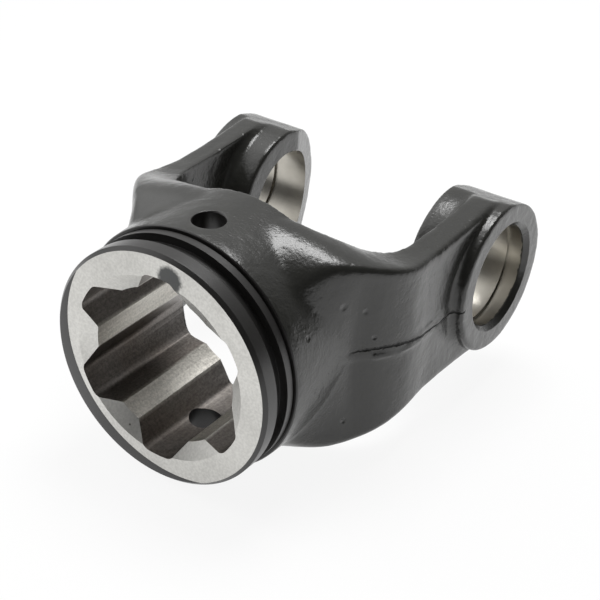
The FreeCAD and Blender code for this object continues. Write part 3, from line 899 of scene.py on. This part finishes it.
@dataclass(frozen=True)
class LobeBroach:
    """Broach of the six-lobed bore, and the countersink at its mouth."""

    start: float = -92.0
    end: float = -44.0
    hub_end: float = HUB_END
    lobes: int = 6
    first_deg: float = 30.0
    tooth_r: float = TOOTH_R
    floor_r: float = 24.3
    root_x: float = 18.0
    root_half: float = 7.6
    tip_half: float = 3.9
    corner_r: float = 2.6
    sink_r: float = 23.6
    sink_deg: float = 60.0
    sink_lead: float = 2.0          # the countersink starts this far in front of the face
    arc_steps: int = 6
    tip_steps: int = 4

    def half_lobe(self) -> list[tuple[float, float]]:
        """Works out one side of a lobe that points along the first axis.

        Returns:
            Points (outward, sideways) in mm from the tooth circle to the lobe's middle.
        """
        root = Vector((self.root_x, self.root_half))
        tip = Vector((math.sqrt(self.floor_r ** 2 - self.tip_half ** 2), self.tip_half))
        flank = (tip - root).normalized()
        inward = Vector((flank.y, -flank.x))
        half = root.dot(flank)
        start = root + flank * (-half + math.sqrt(half ** 2 - root.dot(root) + self.tooth_r ** 2))
        base = root + inward * self.corner_r
        half = base.dot(flank)
        room = (self.floor_r - self.corner_r) ** 2
        centre = base + flank * (-half + math.sqrt(half ** 2 - base.dot(base) + room))
        low = math.atan2(-inward.y, -inward.x)
        high = math.atan2(centre.y, centre.x)
        points = [tuple(start)]
        for k in range(self.arc_steps + 1):
            a = low + (high - low) * k / self.arc_steps
            points.append((centre.x + self.corner_r * math.cos(a),
                           centre.y + self.corner_r * math.sin(a)))
        for k in range(1, self.tip_steps):
            a = high * (1 - k / self.tip_steps)
            points.append((self.floor_r * math.cos(a), self.floor_r * math.sin(a)))
        return points

    def outline(self) -> list[Vector]:
        """Works out the whole section of the broach.

        Returns:
            The section's points, in metres, at the broach's start.
        """
        half = self.half_lobe()
        other = [(a, -b) for a, b in half]
        lobe = other + [(self.floor_r, 0.0)] + half[::-1]
        edge_deg = math.degrees(math.atan2(half[0][1], half[0][0]))
        pitch = 360.0 / self.lobes
        points = []
        for i in range(self.lobes):
            middle = self.first_deg + i * pitch
            turn = math.radians(middle)
            for out, across in lobe:
                points.append(Vector((self.start, out * math.cos(turn) - across * math.sin(turn),
                                      out * math.sin(turn) + across * math.cos(turn))) * MM)
            gap = pitch - 2 * edge_deg
            for k in range(1, self.arc_steps):
                a = math.radians(middle + edge_deg + gap * k / self.arc_steps)
                points.append(Vector((self.start, self.tooth_r * math.cos(a),
                                      self.tooth_r * math.sin(a))) * MM)
        return points

    def make(self, finishes: Finishes) -> list[bpy.types.Object]:
        """Builds the broach and the countersink.

        Args:
            finishes: the yoke's finishes.

        Returns:
            Both cutting bodies.
        """
        broach = outline_piece("lobe_broach", self.outline(), True)
        edit_all(broach)
        bpy.ops.mesh.edge_face_add()
        bpy.ops.mesh.extrude_region_move(
            TRANSFORM_OT_translate={"value": ((self.end - self.start) * MM, 0.0, 0.0)})
        bpy.ops.mesh.select_all(action="SELECT")
        bpy.ops.mesh.normals_make_consistent(inside=False)
        bpy.ops.object.mode_set(mode="OBJECT")
        broach.data.materials.append(finishes.broach)
        spread = math.tan(math.radians(self.sink_deg))
        front = self.hub_end - self.sink_lead
        sink = turned("countersink", [
            (front, 0.0), (front, self.sink_r + self.sink_lead * spread),
            (self.hub_end + self.sink_r / spread, 0.0)], Along.X, steps=192)
        sink.data.materials.append(finishes.face)
        return [broach, sink]


@dataclass(frozen=True)
class PinDrill:
    """Drill and deburring cones of the cross pin hole."""

    x: float = PIN_X
    r: float = 4.05
    hub_r: float = HUB_R
    chamfer: float = 0.5
    run_out: float = 4.0            # how far the deburring cones run on past their mouths

    def make(self, finishes: Finishes) -> bpy.types.Object:
        """Builds the drill.

        Args:
            finishes: the yoke's finishes.

        Returns:
            The cutting body.
        """
        mouth = self.hub_r - self.chamfer
        end = mouth + self.run_out
        half = [(-end, 0.0), (-end, self.r + self.run_out), (-mouth, self.r)]
        drill = turned("pin_drill", half + [(-a, r) for a, r in half[::-1]], Along.Z,
                       Vector((self.x * MM, 0.0, 0.0)), steps=64)
        drill.data.materials.append(finishes.collar)
        return drill


@dataclass(frozen=True)
class EarBorer:
    """Boring bar for both ears, with their chamfers and snap ring grooves."""

    bore_r: float = 13.5
    ear_out: float = EAR_OUT
    ear_in: float = EAR_IN
    chamfer: float = 1.25
    chamfer_in: float = 0.5
    groove_y: float = 36.3
    groove_w: float = 1.5
    groove_r: float = 14.25
    past_in: float = 1.0            # how far the chamfers run on past the faces
    past_out: float = 3.0

    def make(self, finishes: Finishes) -> bpy.types.Object:
        """Builds the boring bar.

        Args:
            finishes: the yoke's finishes.

        Returns:
            The cutting body.
        """
        r = self.bore_r
        half = [(self.ear_in - self.past_in, r + self.chamfer_in + self.past_in),
                (self.ear_in + self.chamfer_in, r), (self.groove_y, r),
                (self.groove_y, self.groove_r),
                (self.groove_y + self.groove_w, self.groove_r), (self.groove_y + self.groove_w, r),
                (self.ear_out - self.chamfer, r),
                (self.ear_out + self.past_out, r + self.chamfer + self.past_out),
                (self.ear_out + self.past_out, 0.0)]
        bar = turned("ear_borer", [(-y, s) for y, s in half[::-1]] + half, Along.Y, steps=128)
        bar.data.materials.append(finishes.bore)
        bar.data.materials.append(finishes.forge)
        for face in bar.data.polygons:
            y = abs(face.center.y) / MM
            if y > self.ear_out - self.chamfer or y < self.ear_in + self.chamfer_in:
                face.material_index = 1
        return bar


@dataclass
class Yoke:
    """The whole yoke: the blank, cut with its tools."""

    blank: ForgedBlank = ForgedBlank()
    collar: CollarTool = CollarTool()
    broach: LobeBroach = LobeBroach()
    drill: PinDrill = PinDrill()
    borer: EarBorer = EarBorer()
    smooth_deg: float = 24.0

    def machine(self, body: bpy.types.Object, tools: list[bpy.types.Object]) -> None:
        """Cuts the blank with all tools at once and removes the tools.

        Args:
            body: the blank.
            tools: the cutting bodies.
        """
        rack = bpy.data.collections.new("tools")
        bpy.context.scene.collection.children.link(rack)
        for tool in tools:
            rack.objects.link(tool)
        apply_modifier(body, "BOOLEAN", operation="DIFFERENCE", operand_type="COLLECTION",
                       collection=rack, solver="MANIFOLD", material_mode="TRANSFER")
        for tool in tools:
            bpy.data.objects.remove(tool)
        bpy.data.collections.remove(rack)

    def make(self, node: bpy.types.Object, finishes: Finishes) -> bpy.types.Object:
        """Builds the finished yoke and lets it stand for the CAD node.

        Args:
            node: the CAD node.
            finishes: the yoke's finishes.

        Returns:
            The finished piece.
        """
        body = self.blank.make(node, finishes.forge)
        log.info("blank: %d faces", len(body.data.polygons))
        tools = [*self.collar.make(finishes), *self.broach.make(finishes),
                 self.drill.make(finishes), self.borer.make(finishes)]
        self.machine(body, tools)
        focus(body)
        bpy.ops.object.shade_smooth_by_angle(angle=math.radians(self.smooth_deg))
        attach(body, "root")
        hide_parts(node.name)
        log.info("yoke: %d faces", len(body.data.polygons))
        return body


# ---- floor, light and camera -----------------------------------------------------------------


@dataclass(frozen=True)
class Studio:
    """Plain pale floor, soft overhead light and the camera."""

    yaw_deg: float = 34.775
    elevation_deg: float = 32.211
    roll_deg: float = 2.049
    stand_m: tuple = (-0.32883, -0.19321, 0.20923)
    lens_mm: float = 97.87
    sensor_mm: float = 36.0
    clip_m: tuple = (0.01, 20.0)
    shift: tuple = (0.0839, 0.0319)
    floor_drop_m: float = 0.0005
    floor_m: float = 3.0
    lamp_place_m: tuple = (0.10, 0.03, 0.50)
    lamp_aim_m: tuple = (-0.02, 0.0, 0.0)
    lamp_size_m: tuple = (0.26, 0.20)
    lamp_power: float = 2.3
    board: str = "#f0f0f0"
    board_shown: float = 0.9        # share of plain white that the camera sees, for its shadow
    board_mirrored: float = 0.5     # the same for shiny surfaces
    board_edge_m: tuple = (-0.34, -0.22)
    board_glow: float = 1.75
    room_dim: float = 0.05
    # Bright patches of the room: azimuth, elevation, inner and outer angle, and power.
    walls: tuple = ((48.0, 15.0, 55.0, 95.0, 0.6), (95.0, 45.0, 15.0, 45.0, 1.2))

    def camera(self) -> None:
        """Sets the camera up."""
        yaw, lift, roll = (math.radians(v) for v in (self.yaw_deg, self.elevation_deg,
                                                     self.roll_deg))
        ahead = Vector((math.cos(yaw) * math.cos(lift), math.sin(yaw) * math.cos(lift),
                        -math.sin(lift)))
        right = ahead.cross(Vector((0.0, 0.0, 1.0))).normalized()
        down = ahead.cross(right)
        x = right * math.cos(roll) - down * math.sin(roll)
        y = right * math.sin(roll) + down * math.cos(roll)
        turn = Matrix((x, -y, -ahead)).transposed()
        data = bpy.data.cameras.new("camera")
        data.lens = self.lens_mm
        data.sensor_width = self.sensor_mm
        data.shift_x, data.shift_y = self.shift
        data.clip_start, data.clip_end = self.clip_m
        camera = bpy.data.objects.new("camera", data)
        camera.matrix_world = Matrix.Translation(Vector(self.stand_m)) @ turn.to_4x4()
        bpy.context.scene.collection.objects.link(camera)
        bpy.context.scene.camera = camera

    def floor(self) -> None:
        """Lays the floor just under the yoke; a shiny surface sees it end in front of the hub."""
        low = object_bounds()[0].z - self.floor_drop_m
        bpy.ops.object.select_all(action="DESELECT")
        bpy.ops.mesh.primitive_plane_add(size=self.floor_m, location=(0.0, 0.0, low))
        floor = bpy.context.object
        floor.name = "floor"
        material, tree = fresh("matt_white_board")
        path = put(tree, "LightPath")
        place = put(tree, "TexCoord").outputs["Object"]
        axes = put(tree, "SeparateXYZ", {0: place})
        board = put(tree, "BsdfDiffuse", {"Color": linear(self.board)})
        seen = put(tree, "Math", {
            0: path.outputs["Is Camera Ray"], 1: path.outputs["Is Transmission Ray"]},
            operation="MAXIMUM")
        share = put(tree, "Math", {0: seen, 1: self.board_shown}, operation="MULTIPLY")
        mirrored = put(tree, "Math", {
            0: path.outputs["Is Glossy Ray"], 1: self.board_mirrored, 2: share},
            operation="MULTIPLY_ADD")
        edge = put(tree, "MapRange", {
            "Value": axes.outputs["X"], "From Min": self.board_edge_m[0],
            "From Max": self.board_edge_m[1], "To Min": self.room_dim, "To Max": self.board_glow},
            interpolation_type="SMOOTHSTEP")
        white = put(tree, "Mix", {"Factor": path.outputs["Is Glossy Ray"], "A": 1.0, "B": edge})
        glow = put(tree, "Emission", {"Color": (1.0, 1.0, 1.0, 1.0), "Strength": white})
        mix = put(tree, "MixShader", {0: mirrored, 1: board, 2: glow})
        put(tree, "OutputMaterial", {"Surface": mix})
        floor.data.materials.append(material)
        floor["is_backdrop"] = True

    def lamp(self, name: str, place: tuple, aim: tuple, size: tuple, power: float) -> None:
        """Hangs one soft rectangular lamp.

        Args:
            name: name of the lamp.
            place: where it hangs, in metres.
            aim: the point it faces.
            size: width and height in metres.
            power: power in watts.
        """
        data = bpy.data.lights.new(name, "AREA")
        data.shape = "RECTANGLE"
        data.size, data.size_y = size
        data.energy = power
        lamp = bpy.data.objects.new(name, data)
        lamp.location = place
        lamp.rotation_euler = (Vector(aim) - Vector(place)).to_track_quat("-Z", "Y").to_euler()
        bpy.context.scene.collection.objects.link(lamp)

    def wall(self, tree: bpy.types.NodeTree, towards: bpy.types.NodeSocket, azimuth: float,
             elevation: float, inner: float, outer: float, power: float) -> bpy.types.NodeSocket:
        """Adds one soft bright patch of the room.

        Args:
            tree: the world's node tree.
            towards: the direction looked in.
            azimuth: azimuth of the patch's middle in degrees.
            elevation: its elevation in degrees.
            inner: angle from the middle, in degrees, up to which it is at full power.
            outer: angle at which it has faded out.
            power: its strength.

        Returns:
            The patch's light in that direction.
        """
        a, e = math.radians(azimuth), math.radians(elevation)
        middle = (math.cos(a) * math.cos(e), math.sin(a) * math.cos(e), math.sin(e))
        near = put(tree, "VectorMath", {0: towards, 1: middle}, operation="DOT_PRODUCT")
        return put(tree, "MapRange", {
            "Value": near, "From Min": math.cos(math.radians(outer)),
            "From Max": math.cos(math.radians(inner)), "To Max": power},
            interpolation_type="SMOOTHSTEP").outputs["Result"]

    def light(self) -> None:
        """Sets the room and the lamp.

        Shiny surfaces see a white wall behind the yoke and a dim room on the camera's side.
        """
        world = bpy.data.worlds.new("studio")
        bpy.context.scene.world = world
        world.use_nodes = True
        tree = world.node_tree
        tree.nodes.clear()
        path = put(tree, "LightPath")
        seen = put(tree, "Math", {
            0: path.outputs["Is Camera Ray"], 1: path.outputs["Is Transmission Ray"]},
            operation="MAXIMUM")
        towards = put(tree, "TexCoord").outputs["Generated"]
        room = self.room_dim
        for patch in self.walls:
            room = put(tree, "Math", {
                0: room, 1: self.wall(tree, towards, *patch)}, operation="ADD").outputs[0]
        strength = put(tree, "Mix", {"Factor": seen, "A": room, "B": 1.0})
        sky = put(tree, "Background", {"Color": (1.0, 1.0, 1.0, 1.0), "Strength": strength})
        put(tree, "OutputWorld", {"Surface": sky})
        self.lamp("overhead", self.lamp_place_m, self.lamp_aim_m, self.lamp_size_m,
                  self.lamp_power)

    def set_up(self) -> None:
        """Builds floor, light and camera."""
        self.camera()
        self.floor()
        self.light()
        bpy.context.scene.view_settings.view_transform = "Standard"


def main() -> None:
    """Builds the yoke and the studio and reports each piece."""
    logging.basicConfig(level=logging.INFO, format="%(name)s: %(message)s")
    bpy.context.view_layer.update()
    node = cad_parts["forged_yoke"]
    Yoke().make(node, Finishes.make())
    Studio().set_up()


if __name__ == "__main__":
    main()
